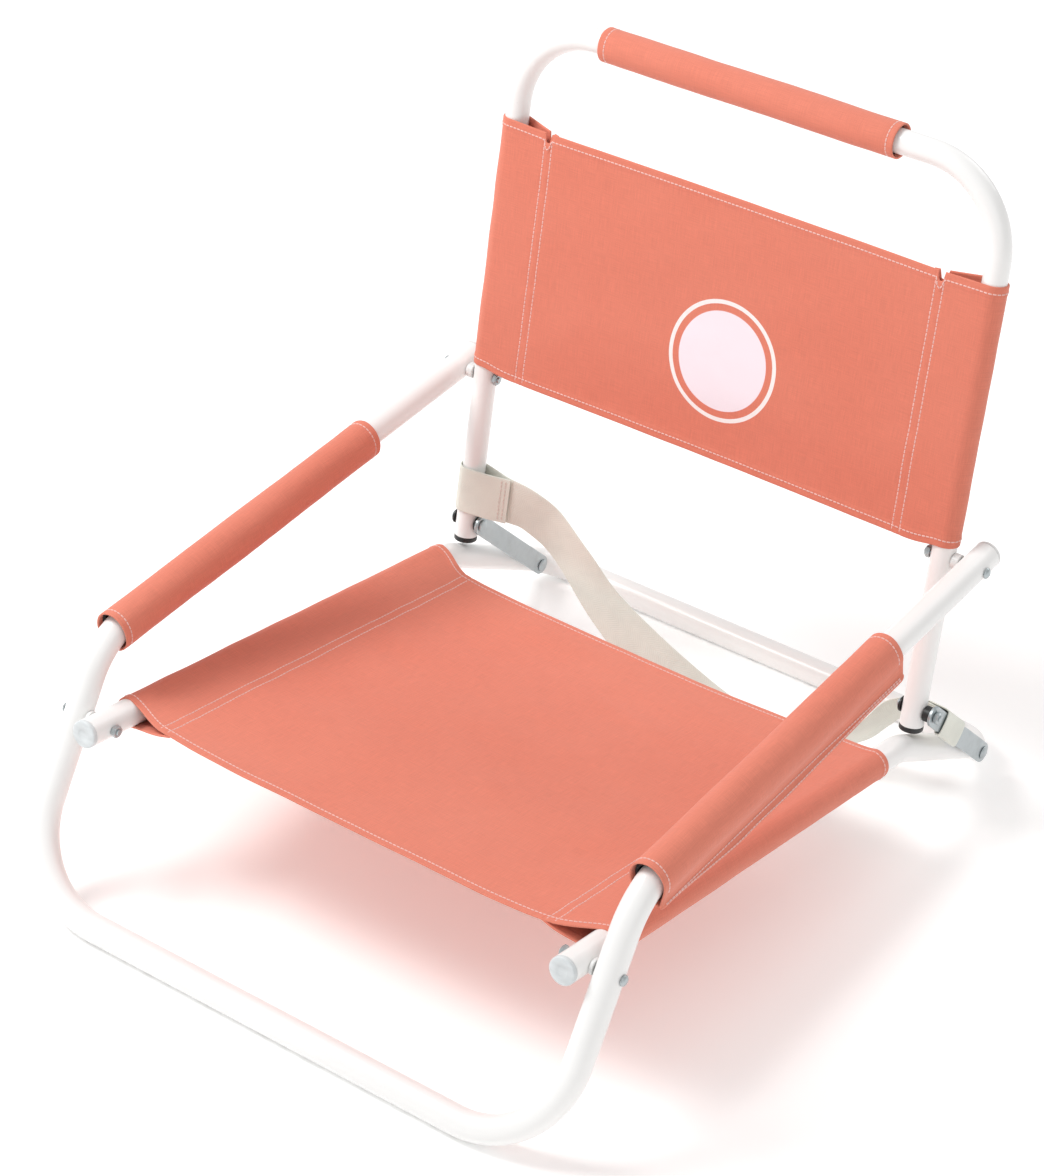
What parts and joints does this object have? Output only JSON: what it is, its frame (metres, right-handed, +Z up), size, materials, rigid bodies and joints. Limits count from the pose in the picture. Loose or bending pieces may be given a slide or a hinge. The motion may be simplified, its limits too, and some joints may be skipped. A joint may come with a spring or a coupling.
{
  "type": "folding camp chair",
  "caption": "Low folding chair of bent tube frames with canvas seat and back, padded sleeves, links and carrying strap.",
  "frame": {"origin": "centre of the footprint, on the ground", "axes": "+Z up, +Y from the front bar to the rear bar, +X the sitter's left, which is the right-hand side seen from the front"},
  "size_m": [0.5924, 0.7466, 0.6284],
  "materials": {
    "white_paint": "satin white powder coat on bent steel tube",
    "white_plastic": "white moulded nylon",
    "grey_plastic": "pale grey moulded plug",
    "black_plastic": "black moulded nylon",
    "zinc": "zinc-plated steel",
    "coral_canvas": "plain-weave coral canvas with pale stitching",
    "foam": "closed-cell foam tube",
    "ivory_webbing": "ivory woven webbing"
  },
  "bodies": {
    "front": {"front_arm_frame": "white_paint", "arm_foam_left": "foam", "arm_sleeve_left": "coral_canvas", "arm_end_cap_left": "white_plastic", "arm_foam_right": "foam", "arm_sleeve_right": "coral_canvas", "arm_end_cap_right": "white_plastic", "seat_pivot_left_bolt": "zinc", "seat_pivot_left_washer": "white_plastic", "seat_pivot_left_nut": "zinc", "seat_pivot_right_bolt": "zinc", "seat_pivot_right_washer": "white_plastic", "seat_pivot_right_nut": "zinc", "back_pivot_left_bolt": "zinc", "back_pivot_left_washer": "white_plastic", "back_pivot_left_nut": "zinc", "back_pivot_right_bolt": "zinc", "back_pivot_right_washer": "white_plastic", "back_pivot_right_nut": "zinc"},
    "seat": {"seat_frame": "white_paint", "seat_panel": "coral_canvas", "tail_spacer_left": "black_plastic", "rail_cap_left": "grey_plastic", "rail_cap_right": "grey_plastic", "tail_stud_left": "zinc", "tail_nut_left": "zinc", "tail_stud_right": "zinc", "tail_nut_right": "zinc"},
    "back": {"back_frame": "white_paint", "back_panel": "coral_canvas", "grip_foam": "foam", "grip_sleeve": "coral_canvas", "carry_strap": "ivory_webbing", "back_foot_left": "black_plastic", "back_foot_right": "black_plastic", "link_pivot_left_washer": "black_plastic", "link_pivot_left_bolt": "zinc", "link_pivot_left_spacer": "black_plastic", "link_pivot_right_washer": "black_plastic", "link_pivot_right_bolt": "zinc", "link_pivot_right_spacer": "black_plastic", "link_pivot_right_nut": "zinc"},
    "link_left": {"link_left_bar": "zinc", "link_left_rivet": "zinc"},
    "link_right": {"link_right_bar": "zinc", "link_right_rivet": "zinc"}
  },
  "joints": [
    {"name": "back_fold", "type": "hinge", "parent": "front", "child": "back", "pos_m": [0, 0.2416, 0.2723], "axis": [1, 0, 0], "range_deg": [0, 109], "deforming": ["carry_strap"]},
    {"name": "seat_fold", "type": "hinge", "parent": "front", "child": "seat", "pos_m": [0, -0.2822, 0.1538], "axis": [1, 0, 0], "range_deg": [0, 13.6]},
    {"name": "link_fold_left", "type": "hinge", "parent": "seat", "child": "link_left", "pos_m": [-0.2325, 0.321, 0.03244], "axis": [1, 0, 0], "range_deg": [-85.23, 0]},
    {"name": "link_fold_right", "type": "hinge", "parent": "back", "child": "link_right", "pos_m": [0.2685, 0.2212, 0.1243], "axis": [1, 0, 0], "range_deg": [-180.6, 0]}
  ],
  "couplings": [
    {"joint": "seat_fold", "follows": "back_fold", "ratio": 0.12459},
    {"joint": "link_fold_left", "follows": "back_fold", "ratio": -0.78101},
    {"joint": "link_fold_right", "follows": "back_fold", "ratio": -1.656}
  ]
}
